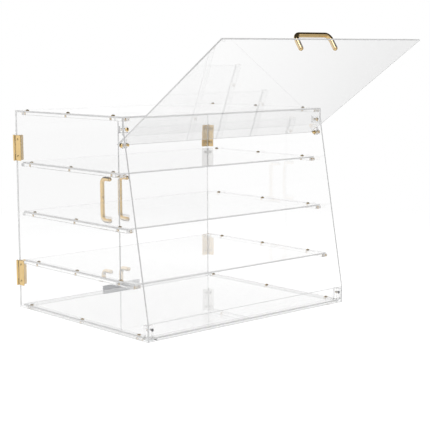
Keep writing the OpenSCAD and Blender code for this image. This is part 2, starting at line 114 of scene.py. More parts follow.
def solids(node, place=UP):
    """Low and high corners of a node's separate solids, in a frame."""
    bm = bmesh.new()
    bm.from_mesh(frame["nodes"][node].data)
    bmesh.ops.remove_doubles(bm, verts=bm.verts, dist=1e-7)
    bmesh.ops.transform(bm, matrix=place.inverted(), verts=bm.verts)
    found, seen = [], set()
    for start in bm.verts:
        if start in seen:
            continue
        seen.add(start)
        island = [start]
        for vert in island:
            near = [edge.other_vert(vert) for edge in vert.link_edges]
            island += [other for other in near if other not in seen]
            seen.update(near)
        found.append(extent([vert.co for vert in island]))
    bm.free()
    return sorted(found, key=lambda box: [round(value, 5) for value in box[0]])


def box_in(node, place):
    """Low and high corners of a whole node, in a frame."""
    return extent([corner for box in solids(node, place) for corner in box])


def middle(box):
    """Middle of a box."""
    return (box[0] + box[1]) / 2


def half_width(box):
    """Half of a box's width, which is the radius of a round piece."""
    return (box[1].x - box[0].x) / 2


def height_of(box):
    """Height of a box."""
    return box[1].z - box[0].z


# ---- Meshes from outlines and rings ----------------------------------------

# Steps round a hole, points of a ring whose outline shows plainly, steps of
# a rounded rim, and the angle from which an edge is drawn sharp
HOLE_STEPS = 40
SMOOTH = 48
RIM_STEPS = 2
CREASE = math.radians(35)


def arc(centre, radius, first, last, steps):
    """Points along an arc, angles in degrees."""
    angles = [math.radians(first + (last - first) * i / steps) for i in range(steps + 1)]
    return [Vector(centre) + radius * Vector((math.cos(a), math.sin(a))) for a in angles]


def hole(centre, radius):
    """Round outline that runs clockwise, so that the sheet is on its left."""
    return arc(centre, radius, 360, 0, HOLE_STEPS)[:-1]


def rectangle(low, high):
    """Outline between two corners, anticlockwise."""
    return [
        Vector((low[0], low[1])),
        Vector((high[0], low[1])),
        Vector((high[0], high[1])),
        Vector((low[0], high[1])),
    ]


def inset_outline(points, inset):
    """A closed outline moved to its left."""
    moved = []
    for before, point, after in zip(points[-1:] + points[:-1], points, points[1:] + points[:1]):
        come = (point - before).normalized()
        leave = (after - point).normalized()
        left = Vector((-come.y - leave.y, come.x + leave.x))
        moved.append(point + left * (inset / (1 + come.dot(leave))))
    return moved


def rounded_rim(low, high, radius):
    """Insets and heights of an edge rounded at both faces. The last rows
    before its flat middle keep the shading of that part flat."""
    turns = [math.pi / 2 * i / RIM_STEPS for i in range(RIM_STEPS + 1)]
    corner = [(radius * (1 - math.sin(t)), radius * (1 - math.cos(t))) for t in turns]
    corner.append((0, radius * 1.15))
    lower = [(inset, low + rise) for inset, rise in corner]
    upper = [(inset, high - rise) for inset, rise in reversed(corner)]
    return lower + upper


def add_band(bm, rows, material=0):
    """Faces between rows of corners, each of which goes round once."""
    for low, high in zip(rows, rows[1:]):
        for i in range(len(low)):
            face = bm.faces.new((low[i - 1], low[i], high[i], high[i - 1]))
            face.material_index = material
            face.smooth = True


def fill_face(bm, rows, normal):
    """Flat face between an outer row of corners and any inner ones."""
    edges = [bm.edges.get((row[i - 1], row[i])) for row in rows for i in range(len(row))]
    made = bmesh.ops.triangle_fill(bm, use_beauty=True, edges=edges, normal=normal)
    for face in made["geom"]:
        if isinstance(face, bmesh.types.BMFace):
            face.smooth = False


def add_plate(bm, outline, holes, low, high, radius, place, pockets=(), edge_material=0):
    """Plate with rounded edges and holes. Pockets open in the lower face and
    are given as centre, radius and depth."""
    lower_rows, upper_rows = [], []
    for points in [outline, *holes]:
        rows = []
        for inset, height in rounded_rim(low, high, radius):
            rows.append([
                bm.verts.new(place @ Vector((*point, height)))
                for point in inset_outline(points, inset)
            ])
        add_band(bm, rows, edge_material)
        lower_rows.append(rows[0])
        upper_rows.append(rows[-1])
    for centre, pocket_radius, depth in pockets:
        points = hole(centre, pocket_radius)
        rows = [
            [bm.verts.new(place @ Vector((*point, height))) for point in points]
            for height in (low, low + depth)
        ]
        add_band(bm, rows, edge_material)
        bm.faces.new(rows[1]).material_index = edge_material
        lower_rows.append(rows[0])
    normal = place.to_3x3() @ Vector((0, 0, 1))
    fill_face(bm, lower_rows, -normal)
    fill_face(bm, upper_rows, normal)


def ring(radius, height, points=30):
    """Points round the Z axis. The radius is a number or is worked out from
    the angle."""
    found = []
    for i in range(points):
        angle = TURN * i / points
        reach = radius(angle) if callable(radius) else radius
        found.append((reach * math.cos(angle), reach * math.sin(angle), height))
    return found


def add_rings(bm, rings, place, through=False):
    """Solid from rings of points. Its ends are flat faces, or with through
    its last ring joins its first, as round a bore."""
    rows = [[bm.verts.new(place @ Vector(point)) for point in points] for points in rings]
    add_band(bm, rows + rows[:1] if through else rows)
    if not through:
        bm.faces.new(rows[0])
        bm.faces.new(rows[-1])


def stand(place, box, height=None):
    """Frame in the middle of a box, at its low end or at a height."""
    centre = middle(box)
    return place @ Matrix.Translation((centre.x, centre.y, box[0].z if height is None else height))


def hexagon(flats):
    """Radius of a hexagon of that width across its flats."""
    sector = math.radians(60)

    def radius(angle):
        return flats / 2 / math.cos((angle + sector / 2) % sector - sector / 2)

    return radius


def least(*radii):
    """The smaller of several radii at each angle."""

    def radius(angle):
        return min(r(angle) if callable(r) else r for r in radii)

    return radius


def bore_rings(radius, chamfer, low, high):
    """Rings down a bore that widens at both ends."""
    return [
        ring(radius + chamfer, high, SMOOTH), ring(radius, high - chamfer, SMOOTH),
        ring(radius, low + chamfer, SMOOTH), ring(radius + chamfer, low, SMOOTH),
    ]


def hexagon_rings(flats, face, low, high, chamfer, shares):
    """Rings of a hexagon that is turned down to a round face at both ends."""
    shape = hexagon(flats)
    full = flats / 2 / math.cos(math.radians(30))
    inward = math.copysign(chamfer, high - low)

    def turned(share, height):
        return ring(least(shape, face + (full - face) * share), height, SMOOTH)

    rings = [ring(face, low, SMOOTH)]
    rings += [turned(share, low + inward * share) for share in shares]
    rings += [turned(share, high - inward * share) for share in reversed(shares)]
    return rings + [ring(face, high, SMOOTH)]


def screw_thread(root, crest, pitch, height):
    """Radius of a thread at one height."""

    def radius(angle):
        share = (height / pitch - angle / TURN) % 1
        return root + (crest - root) * min(1, 1.3 * (1 - abs(2 * share - 1)))

    return radius


def show(name, bm, node, materials):
    """Turns a mesh into a piece that stands for a node and moves with it."""
    bmesh.ops.recalc_face_normals(bm, faces=bm.faces)
    for edge in bm.edges:
        edge.smooth = edge.calc_face_angle(0) < CREASE
    mesh = bpy.data.meshes.new(name)
    bm.to_mesh(mesh)
    bm.free()
    for material in materials:
        mesh.materials.append(material)
    piece = bpy.data.objects.new(name, mesh)
    bpy.context.scene.collection.objects.link(piece)
    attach(piece, BODY_OF[node])
    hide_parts(node)
    return piece


def show_set(node, place, add, material):
    """Makes one piece from all the solids of a node."""
    bm = bmesh.new()
    for box in solids(node, place):
        add(bm, box, place)
    return show(node + "_set", bm, node, [finish(material)])


# ---- Settings ---------------------------------------------------------------


def colour(name, description, *default):
    """Setting that holds a colour."""
    return FloatVectorProperty(
        name=name, description=description, default=default, subtype="COLOR", size=3, min=0, max=1,
    )


def number(name, description, default, low, high, **kind):
    """Setting that holds a number."""
    return FloatProperty(
        name=name, description=description, default=default, min=low, max=high, **kind,
    )


class SheetSettings(bpy.types.PropertyGroup):
    """Look of the clear sheets, rails and blocks."""

    tint: colour("Tint", "Colour that a sheet lets through", 0.9968, 0.9968, 0.9968)
    # Grey painted on the polished edges: painted shade standing in for the darker surroundings that the edges show
    edge_shade_grey: colour("Edge colour", "Colour of a sheet's polished edge", 0.7, 0.7, 0.7)
    edge_round: number(
        "Edge rounding", "Radius of a sheet's polished edges",
        0.3 * MM, 0.05 * MM, 1 * MM, unit="LENGTH",
    )
    edge_clear: number(
        "Edge clearness", "Share of light that passes a polished edge", 0.3, 0, 1,
        subtype="FACTOR",
    )
    air_gap: number(
        "Air gap", "Air between a clear piece and its neighbours, each side",
        0.03 * MM, 0.01 * MM, 0.1 * MM, unit="LENGTH",
    )
    bend: number("Refractive index", "Refractive index of the clear sheet", 1.49, 1.3, 1.7)
    haze: number(
        "Haze", "Roughness where the sheet is most worn", 0.02, 0, 0.3, subtype="FACTOR",
    )


class MetalSettings(bpy.types.PropertyGroup):
    """Look of the metal hardware."""

    gold: colour("Gold", "Colour of the gold plating", 0.83, 0.6, 0.285)
    gold_rough: number(
        "Gold roughness", "Roughness of the gold plating", 0.13, 0.02, 0.6, subtype="FACTOR",
    )
    insert_brass: colour("Insert brass", "Colour of the threaded inserts", 0.74, 0.55, 0.3)
    steel: colour("Steel", "Colour of the strike plate and magnets", 0.56, 0.57, 0.59)
    dark: colour("Dark oxide", "Colour of the lip's screws", 0.3, 0.3, 0.31)


class RubberSettings(bpy.types.PropertyGroup):
    """Look of the feet and washers."""

    colour: colour("Rubber", "Colour of the soft feet and washers", 0.86, 0.88, 0.88)


class StageSettings(bpy.types.PropertyGroup):
    """Camera, lights and floor."""

    eye: FloatVectorProperty(
        name="Camera place", description="Where the camera stands",
        subtype="XYZ", unit="LENGTH", size=3, default=(-1.5816, -1.8662, 0.5259),
    )
    turn: number(
        "Camera turn", "How far the camera turns from the rear to the right",
        0.7315328, -math.pi, math.pi, unit="ROTATION",
    )
    dip: number(
        "Camera dip", "How far the camera looks down",
        0.1367648, -math.pi, math.pi, unit="ROTATION",
    )
    lean: number("Camera lean", "Roll of the camera", -0.0043616, -1, 1, unit="ROTATION")
    focal_pixels: number(
        "Focal length", "Focal length, in pixels of the photograph", 1184.4, 200, 5000,
    )
    daylight: number("Daylight", "Strength of the light from all round", 0.8, 0, 2)
    key_power: number(
        "Key light", "Power of the soft light at the front left, in watts", 25, 0, 200,
    )
    sky_dark: number(
        "Dark overhead", "Brightness of what the metal mirrors from overhead", 0.05, 0, 1,
        subtype="FACTOR",
    )
    flag_dark: number(
        "Dark flags", "How much darker the studio's flags are", 0.8, 0, 1, subtype="FACTOR",
    )


# ---- Shaders ----------------------------------------------------------------


class Wire:
    """An output socket, so that maths on it reads like a formula."""

    def __init__(self, recipe, socket):
        self.recipe = recipe
        self.socket = socket

    def maths(self, operation, *values):
        return self.recipe.add("ShaderNodeMath", {"operation": operation}, dict(enumerate(values)))

    def __add__(self, other):
        return self.maths("ADD", self, other)

    def __sub__(self, other):
        return self.maths("SUBTRACT", self, other)

    def __rsub__(self, other):
        return self.maths("SUBTRACT", other, self)

    def __mul__(self, other):
        return self.maths("MULTIPLY", self, other)

    def larger(self, other):
        return self.maths("MAXIMUM", self, other)

    __radd__ = __add__
    __rmul__ = __mul__


class Recipe:
    """The node tree of a material or a world."""

    def __init__(self, owner):
        owner.use_nodes = True
        self.owner = owner
        self.tree = owner.node_tree
        self.tree.nodes.clear()

    def add(self, kind, settings=None, inputs=None, output=0):
        """Adds a node with its settings and the values or wires of its
        sockets, and gives one of its outputs."""
        node = self.tree.nodes.new(kind)
        for name, value in (settings or {}).items():
            setattr(node, name, value)
        for name, value in (inputs or {}).items():
            if isinstance(value, Wire):
                self.tree.links.new(value.socket, node.inputs[name])
            else:
                node.inputs[name].default_value = value
        return None if output is None else Wire(self, node.outputs[output])

    def mix(self, share, first, second):
        """Mix of two colours."""
        inputs = {0: share, 6: first, 7: second}
        return self.add("ShaderNodeMix", {"data_type": "RGBA"}, inputs, output=2)

    def tone(self, share, colour, low, high=1):
        """A colour that goes from darker to brighter."""
        return self.mix(share, rgba(colour, low), rgba(colour, high))

    def mix_shaders(self, share, first, second):
        return self.add("ShaderNodeMixShader", None, {0: share, 1: first, 2: second})

    def noise(self, scale, detail=2, stretch=(1, 1, 1)):
        """Noise from 0 to 1, its scale in patches for each metre."""
        place = self.add("ShaderNodeTexCoord", output="Object")
        place = self.add("ShaderNodeMapping", None, {"Vector": place, "Scale": stretch})
        inputs = {"Vector": place, "Scale": scale, "Detail": detail}
        return self.add("ShaderNodeTexNoise", None, inputs)

    def between(self, value, low, high, to_low=0, to_high=1):
        """A value spread from one range over another, and kept inside it."""
        inputs = {0: value, 1: low, 2: high, 3: to_low, 4: to_high}
        return self.add("ShaderNodeMapRange", None, inputs)

    def along(self, vector, direction):
        """How far a vector points along a direction."""
        inputs = {0: vector, 1: direction}
        return self.add("ShaderNodeVectorMath", {"operation": "DOT_PRODUCT"}, inputs, "Value")

    def bump(self, height, distance):
        inputs = {"Height": height, "Distance": distance, "Strength": 1}
        return self.add("ShaderNodeBump", None, inputs)

    def light_path(self, *names):
        """1 where a ray is of a kind that is named, or the named depth."""
        found = self.add("ShaderNodeLightPath", output=names[0])
        for name in names[1:]:
            found = found.larger(self.add("ShaderNodeLightPath", output=name))
        return found

    def by_mirror(self, most=1):
        """0 for rays from the camera, and more where a mirror turned them."""
        return self.between(self.light_path("Glossy Depth"), 0, 1, 0, most)

    def surface(self, shader):
        """Ends the tree with a shader, and gives its material or world."""
        kind = "World" if isinstance(self.owner, bpy.types.World) else "Material"
        self.add("ShaderNodeOutput" + kind, None, {"Surface": shader}, output=None)
        return self.owner


def rgba(colour, strength=1.0):
    """A colour with its alpha, made brighter or darker."""
    return (*[min(1, part * strength) for part in colour], 1)


def clear_finish(recipe, colour, rough, normal, bend, passed, clearness=1):
    """Clear or milky material. It casts only a faint shadow, because most of
    the lamplight and scattered light passes straight through."""
    body = recipe.add("ShaderNodeBsdfPrincipled", None, {
        "Base Color": colour,
        "Roughness": rough,
        "IOR": bend,
        "Transmission Weight": clearness,
        "Normal": normal,
    })
    open_air = recipe.add("ShaderNodeBsdfTransparent", None, {"Color": rgba((passed,) * 3)})
    rays = recipe.light_path("Is Shadow Ray", "Is Diffuse Ray")
    return recipe.surface(recipe.mix_shaders(rays, body, open_air))


def clear_face(settings):
    """Flat face of cast acrylic: a slow waviness and a trace of wiping haze."""
    recipe = Recipe(bpy.data.materials.new("clear_face"))
    wiped = recipe.between(recipe.noise(14, 4, (1, 1, 3)), 0.5, 0.8, 0, settings.haze)
    waves = recipe.bump(recipe.noise(8, 1), 0.04 * MM)
    cloudy = recipe.tone(recipe.noise(3, 1), settings.tint, 1, 0.997)
    return clear_finish(recipe, cloudy, wiped, waves, settings.bend, 0.97)


def clear_edge(settings):
    """Edge of the sheet: flame-polished saw lines, and a grey painted shade with paler and darker streaks."""
    recipe = Recipe(bpy.data.materials.new("clear_edge"))
    lines = recipe.noise(700)
    # Painted shade: the edges' grey, streaked at random
    streaked_edge_shade = recipe.tone(recipe.noise(40), settings.edge_shade_grey, 0.94, 1.06)
    rough = recipe.between(lines, 0.3, 0.7, 0.16, 0.34)
    ridges = recipe.bump(lines, 0.03 * MM)
    clear = settings.edge_clear
    return clear_finish(recipe, streaked_edge_shade, rough, ridges, settings.bend, 0.9, clear)


def sawn_block(settings):
    """Sawn and polished acrylic block."""
    recipe = Recipe(bpy.data.materials.new("sawn_block"))
    saw = recipe.noise(260, 2, (1, 1, 0.2))
    cloudy = recipe.tone(recipe.noise(90, 1), settings.tint, 0.997)
    rough = recipe.between(saw, 0.35, 0.75, 0, 0.05)
    ridges = recipe.bump(saw, 0.01 * MM)
    return clear_finish(recipe, cloudy, rough, ridges, settings.bend, 0.95)


# How far the painted corner shade reaches, and its darkest tone as a share of the metal's colour
CORNER_SHADE_REACH = 3 * MM
CORNER_SHADE_TONE = 0.12
# Grey painted on the metal where the sheets mirror it, a painted reflection tone
MIRRORED_GREY = 0.7


def polished_metal(name, colour, rough, grain=600, stretch=(1, 1, 1), mirrored_share=1):
    """Metal with fine wear: cloudy roughness, hairline grain and uneven tone,
    and painted shade that darkens its colour in corners and crevices. In what
    the sheets mirror it is painted grey and partly see-through, a painted
    reflection tone, so that less than the whole of it shows there."""
    recipe = Recipe(bpy.data.materials.new(name))
    wear = recipe.noise(55, 4)
    hairlines = recipe.noise(grain, 3, stretch)
    tone = recipe.tone(recipe.between(wear, 0.3, 0.7), colour, 0.93, 1.04)
    # Painted shade: ambient occlusion darkens the colour in corners and crevices
    corners = recipe.add(
        "ShaderNodeAmbientOcclusion", {"samples": 8, "only_local": True},
        {"Distance": CORNER_SHADE_REACH}, "AO",
    )
    tone = recipe.mix(recipe.between(corners, 0.35, 0.85), rgba(colour, CORNER_SHADE_TONE), tone)
    # Painted reflection: in what the sheets mirror, the metal turns grey and partly see-through
    mirrored = recipe.by_mirror(1 - mirrored_share)
    tone = recipe.mix(mirrored, tone, rgba((MIRRORED_GREY,) * 3))
    metal = recipe.add("ShaderNodeBsdfPrincipled", None, {
        "Base Color": tone,
        "Metallic": 1,
        "Roughness": recipe.between(wear + hairlines, 0.7, 1.3, rough * 0.75, rough * 1.35),
        "Normal": recipe.bump(hairlines, 0.004 * MM),
    })
    unseen = recipe.add("ShaderNodeBsdfTransparent")
    return recipe.surface(recipe.mix_shaders(mirrored, metal, unseen))


RUBBER_BEND = 1.43
RUBBER_CLEAR = 0.7


def milky_rubber(settings):
    """Milky soft rubber with a fine moulded grain."""
    recipe = Recipe(bpy.data.materials.new("milky_rubber"))
    grain = recipe.noise(1500)
    cloudy = recipe.tone(recipe.noise(120), settings.colour, 0.93)
    rough = recipe.between(grain, 0.3, 0.7, 0.28, 0.42)
    pitted = recipe.bump(grain, 0.01 * MM)
    return clear_finish(recipe, cloudy, rough, pitted, RUBBER_BEND, 0.8, RUBBER_CLEAR)


def finish(name):
    """A material by name, made on its first use."""
    if name in bpy.data.materials:
        return bpy.data.materials[name]
    scene = bpy.context.scene
    sheet, metal = scene.case_sheet, scene.case_metal
    makers = {
        "clear_face": lambda: clear_face(sheet),
        "clear_edge": lambda: clear_edge(sheet),
        "sawn_block": lambda: sawn_block(sheet),
        "gold": lambda: polished_metal("gold", metal.gold, metal.gold_rough),
        "hinge_gold": lambda: polished_metal(
            "hinge_gold", metal.gold, metal.gold_rough, mirrored_share=0.2,
        ),
        "insert_brass": lambda: polished_metal("insert_brass", metal.insert_brass, 0.25),
        "dark_oxide": lambda: polished_metal("dark_oxide", metal.dark, 0.3),
        "brushed_steel": lambda: polished_metal(
            "brushed_steel", metal.steel, 0.3, grain=300, stretch=(0.03, 1, 1),
        ),
        "nickel": lambda: polished_metal("nickel", metal.steel, 0.16),
        "milky_rubber": lambda: milky_rubber(scene.case_rubber),
    }
    return makers[name]()


# ---- Clear sheets -----------------------------------------------------------

# Button-head screws: radius and rise of the head, width of the hexagon
# socket, radius of the shank, thread pitch, radius of the hole in the sheet
SCREW_SIZES = {
    "M4": {"head": 3.8, "rise": 2.2, "socket": 2.5, "shank": 1.95, "pitch": 0.7, "hole": 2.2},
    "M3": {"head": 2.85, "rise": 1.65, "socket": 2.0, "shank": 1.45, "pitch": 0.5, "hole": 1.65},
    "pivot": {"head": 4.5, "rise": 3.0, "socket": 3.0, "shank": 2.05, "pitch": 0.7, "hole": 2.15},
}
HEAD_RIM = 0.4 * MM
SOCKET_FLOOR = 0.4


def screw_size(box):
    """Sizes of the screw whose head is as wide as a box, in metres."""
    head = half_width(box)
    sizes = min(SCREW_SIZES.values(), key=lambda size: abs(size["head"] * MM - head))
    return {name: value * MM for name, value in sizes.items()}


def screw_holes(nodes, sheet_box, place):
    """Outlines of the holes that the screws of some nodes pass through."""
    found = []
    for node in nodes:
        for box in solids(node, place):
            if box[0].z < sheet_box[1].z and box[1].z > sheet_box[0].z:
                found.append(hole(middle(box).xy, screw_size(box)["hole"]))
    return found


LAMP_FREE = "lamp_free"


def keep_from_key(piece):
    """Keeps a piece from mirroring the key lamp as a hard white patch."""
    group = bpy.data.collections[LAMP_FREE]
    group.objects.link(piece)
    group.collection_objects[-1].light_linking.link_state = "EXCLUDE"


def make_sheet(node, place, screw_nodes, outline=None, pockets=()):
    """Clear sheet with polished edges, drilled for its screws."""
    settings = bpy.context.scene.case_sheet
    air = settings.air_gap
    box = box_in(node, place)
    points = outline or rectangle(box[0], box[1])
    bm = bmesh.new()
    add_plate(
        bm, inset_outline(points, air), screw_holes(screw_nodes, box, place),
        box[0].z + air, box[1].z - air, settings.edge_round, place, pockets, edge_material=1,
    )
    piece = show(node + "_sheet", bm, node, [finish("clear_face"), finish("clear_edge")])
    keep_from_key(piece)
    return piece


def side_outline(side):
    """Outline of a side panel, along the depth and height of the case."""
    low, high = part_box(side + "_side_panel")
    lip_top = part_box("front_lip")[1].z
    header_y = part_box("header_panel")[0].y
    corners = frame["nodes"][side + "_side_panel"].data.vertices
    brow_z = min(v.co.z for v in corners if abs(v.co.y - header_y) < 0.1 * MM)
    rise = [
        Vector((low.y, low.z)),
        Vector((low.y, lip_top)),
        Vector((header_y, brow_z)),
        Vector((header_y, high.z)),
        Vector((high.y, high.z)),
        Vector((high.y, low.z)),
    ]
    return rise[::-1]


class CASE_OT_panels(bpy.types.Operator):
    """Make the case's fixed panels and shelves."""

    bl_idname = "case.panels"
    bl_label = "Panels and shelves"

    def execute(self, context):
        for side in ("left", "right"):
            screws = [side + "_hinge_case_screws", "lid_pivot_screws"]
            make_sheet(side + "_side_panel", RIGHT, screws, side_outline(side))
        make_sheet("header_panel", FRONT, ["header_screws"])
        make_sheet("front_lip", FRONT, ["front_lip_screws"])
        for node in ("top_panel", "bottom_panel", "upper_shelf", "middle_shelf", "lower_shelf"):
            make_sheet(node, UP, [node + "_screws"])
        return {"FINISHED"}


MAGNET_PLAY = 0.05 * MM


class CASE_OT_doors(bpy.types.Operator):
    """Make the two rear doors, with pockets for their magnets."""

    bl_idname = "case.doors"
    bl_label = "Door sheets"

    def execute(self, context):
        for side in ("left", "right"):
            door = side + "_door"
            magnet = box_in(door + "_magnet", REAR)
            radius = half_width(magnet) + MAGNET_PLAY
            pocket = (middle(magnet).xy, radius, height_of(magnet) + 2 * MAGNET_PLAY)
            screws = [door + "_handle_screws", side + "_hinge_door_screws"]
            make_sheet(door, REAR, screws, pockets=[pocket])
        return {"FINISHED"}


LUG_BORE = 2.1 * MM


class CASE_OT_lid(bpy.types.Operator):
    """Make the lid and the two lugs that it hangs on."""

    bl_idname = "case.lid"
    bl_label = "Lid and lugs"

    def execute(self, context):
        make_sheet("lid", LID_OUT, ["lid_handle_screws"])
        settings = context.scene.case_sheet
        air = settings.air_gap
        bm = bmesh.new()
        for low, high in solids("lid_hinge_lugs", LID_ALONG):
            nose = -low.y
            outline = [Vector((high.x, high.y)), Vector((low.x, high.y))]
            outline += arc((0, 0), nose, 180, 360, 24)
            add_plate(
                bm, inset_outline(outline, air), [hole((0, 0), LUG_BORE)],
                low.z + air, high.z - air, settings.edge_round, LID_ALONG,
            )
        show("lid_hinge_lugs_pair", bm, "lid_hinge_lugs", [finish("sawn_block")])
        return {"FINISHED"}


# ---- Rails, blocks and inserts ----------------------------------------------

RAIL_ROUND = 0.25 * MM
BLOCK_CHAMFER = 0.35 * MM
BORE_PLAY = 0.05 * MM
BORE_SPARE = 1.5 * MM
BORE_CHAMFER = 0.15 * MM


def distance_to_edge(polygon, centre, angle):
    """Distance from a point inside a polygon to its edge, along an angle."""
    ray = Vector((math.cos(angle), math.sin(angle)))
    for first, second in zip(polygon, polygon[1:] + polygon[:1]):
        edge = second - first
        turn = ray.x * edge.y - ray.y * edge.x
        if abs(turn) < 1e-12:
            continue
        gap = first - centre
        along = (gap.x * edge.y - gap.y * edge.x) / turn
        share = (gap.x * ray.y - gap.y * ray.x) / turn
        if along > 0 and -1e-9 <= share <= 1 + 1e-9:
            return along
    raise ValueError("the point is outside the polygon")


def add_block(bm, box, bore, radius, depth, place):
    """Block with chamfered edges and a round bore from its upper face."""
    low, high = box
    cut = BLOCK_CHAMFER
    corners = [
        (low.x + cut, low.y), (high.x - cut, low.y), (high.x, low.y + cut),
        (high.x, high.y - cut), (high.x - cut, high.y), (low.x + cut, high.y),
        (low.x, high.y - cut), (low.x, low.y + cut),
    ]
    polygon = [Vector(corner) for corner in corners]
    angles = [TURN * i / HOLE_STEPS for i in range(HOLE_STEPS)]
    angles += [math.atan2(*(corner - bore).yx) % TURN for corner in polygon]
    angles = sorted(set(round(angle, 6) for angle in angles))

    def outer(inset, height):
        shrunk = inset_outline(polygon, inset)
        reach = [distance_to_edge(shrunk, bore, angle) for angle in angles]
        return around(reach, height)

    def around(reach, height):
        return [
            (bore.x + r * math.cos(angle), bore.y + r * math.sin(angle), height)
            for r, angle in zip(reach, angles)
        ]

    def inner(reach, height):
        return around([reach] * len(angles), height)

    through = depth >= high.z - low.z
    floor = low.z if through else high.z - depth
    rings = [outer(cut, low.z), outer(0, low.z + cut), outer(0, high.z - cut), outer(cut, high.z)]
    rings += [inner(radius + BORE_CHAMFER, high.z), inner(radius, high.z - BORE_CHAMFER)]
    rings.append(inner(radius, floor))
    add_rings(bm, rings, place, through)


class CASE_OT_rails(bpy.types.Operator):
    """Make the drilled rails that carry the shelves, top and bottom."""

    bl_idname = "case.rails"
    bl_label = "Rails"

    def execute(self, context):
        air = context.scene.case_sheet.air_gap
        inserts = solids("threaded_inserts")
        names = [part["node"] for part in frame["record"]["subparts"]]
        for node in [name for name in names if name.endswith("_rails")]:
            bm = bmesh.new()
            for low, high in solids(node):
                bores = [
                    hole(middle(box).xy, half_width(box) + BORE_PLAY)
                    for box in inserts
                    if all(low[i] < middle(box)[i] < high[i] for i in range(3))
                ]
                outline = inset_outline(rectangle(low, high), air)
                add_plate(bm, outline, bores, low.z + air, high.z - air, RAIL_ROUND, UP)
            show(node + "_set", bm, node, [finish("sawn_block")])
        return {"FINISHED"}


class CASE_OT_blocks(bpy.types.Operator):
    """Make the drilled blocks that hold the header and the front lip."""

    bl_idname = "case.blocks"
    bl_label = "Blocks"

    def execute(self, context):
        air = Vector((1, 1, 1)) * context.scene.case_sheet.air_gap
        inserts = solids("threaded_inserts", FRONT)
        for node in ("header_blocks", "front_lip_blocks"):
            bm = bmesh.new()
            for low, high in solids(node, FRONT):
                insert = min(inserts, key=lambda box: (middle(box) - (low + high) / 2).length)
                radius = half_width(insert) + BORE_PLAY
                depth = height_of(insert) + BORE_SPARE
                add_block(bm, (low + air, high - air), middle(insert).xy, radius, depth, FRONT)
            show(node + "_set", bm, node, [finish("sawn_block")])
        return {"FINISHED"}


# The start and height of a knurled band, and the turn of its knurls, are
# shares of the insert's length and of a full turn
KNURLS = 12
KNURL_DEPTH = 0.16 * MM
KNURL_START = 0.06
KNURL_BAND = 0.4
KNURL_TURN = 0.12
INSERT_WALL = 0.75 * MM
INSERT_GROOVE = 0.3 * MM
INSERT_CHAMFER = 0.2 * MM


def add_insert(bm, box, place):
    """Brass insert with two knurled bands and a groove between them."""
    outside = half_width(box)
    length = height_of(box)
    groove = outside - INSERT_GROOVE

    def knurl(height, turned):
        def radius(angle):
            share = (KNURLS * (angle / TURN + turned * height / length)) % 1
            return outside - KNURL_DEPTH * abs(2 * share - 1)

        return radius

    band = KNURL_BAND * length
    lower = KNURL_START * length
    upper = (1 - KNURL_START) * length - band
    rings = [ring(groove, 0, SMOOTH)]
    for first, turned in ((lower, KNURL_TURN), (upper, -KNURL_TURN)):
        heights = [first, first + band / 2, first + band]
        rings.append(ring(groove, first, SMOOTH))
        rings += [ring(knurl(height, turned), height, SMOOTH) for height in heights]
        rings.append(ring(groove, first + band, SMOOTH))
    rings.append(ring(groove, length, SMOOTH))
    rings += bore_rings(outside - INSERT_WALL, INSERT_CHAMFER, 0, length)
    add_rings(bm, rings, stand(place, box), through=True)


SAME_SIZE = 0.05 * MM


class CASE_OT_inserts(bpy.types.Operator):
    """Make the knurled brass inserts in the rails and blocks."""

    bl_idname = "case.inserts"
    bl_label = "Inserts"

    def execute(self, context):
        bm = bmesh.new()
        for box in solids("threaded_inserts"):
            width, depth, tall = box[1] - box[0]
            lies = abs(width - tall) < SAME_SIZE < abs(width - depth)
            place = FRONT if lies else UP
            add_insert(bm, extent([place.inverted() @ corner for corner in box]), place)
        show("threaded_inserts_set", bm, "threaded_inserts", [finish("insert_brass")])
        return {"FINISHED"}


# ---- Screws and nuts --------------------------------------------------------

# The thread's depth is a share of its pitch. Each turn is cut in a few
# steps, and the first steps run in to the full depth
THREAD_DEPTH = 0.55
THREAD_STEPS = 4
THREAD_RUN_IN = 6
SCREW_TIP = 0.25 * MM
SCREW_PLAIN = 0.8 * MM
SOCKET_RIM = 0.12 * MM


def add_button_screw(bm, box, place):
    """Button-head screw with a hexagon socket and a cut thread."""
    size = screw_size(box)
    head, rise, shank, pitch = size["head"], size["rise"], size["shank"], size["pitch"]
    length = box[1].z - rise - box[0].z
    root = shank - THREAD_DEPTH * pitch
    rings = [ring(root - 0.2 * MM, -length), ring(root, -length + SCREW_TIP)]
    steps = int((length - SCREW_PLAIN) / pitch * THREAD_STEPS)
    for i in range(1, steps + 1):
        height = -length + SCREW_TIP + i * pitch / THREAD_STEPS
        crest = root + (shank - root) * min(1, i / THREAD_RUN_IN)
        rings.append(ring(screw_thread(root, crest, pitch, height), height))
    rings += [ring(shank, -0.2 * MM), ring(shank, 0), ring(head - 0.25 * MM, 0)]
    rings += [ring(head, 0.2 * MM), ring(head, HEAD_RIM)]
    dome_rise = rise - HEAD_RIM
    dome = (head ** 2 + dome_rise ** 2) / (2 * dome_rise)
    socket = size["socket"]
    mouth = socket / 2 / math.cos(math.radians(30)) + SOCKET_RIM
    for share in (0.88, 0.72, 0.56):
        reach = mouth + (head - mouth) * share
        rings.append(ring(reach, rise - dome + math.sqrt(dome ** 2 - reach ** 2)))
    brim = rise - dome + math.sqrt(dome ** 2 - mouth ** 2)
    rings += [ring(mouth, brim), ring(hexagon(socket), brim - 0.15 * MM)]
    rings.append(ring(hexagon(socket), SOCKET_FLOOR * rise))
    add_rings(bm, rings, stand(place, box, box[1].z - rise))


def make_screws(node, place, material="gold"):
    """All the screws of a node, with their heads towards the frame's Z."""
    show_set(node, place, add_button_screw, material)


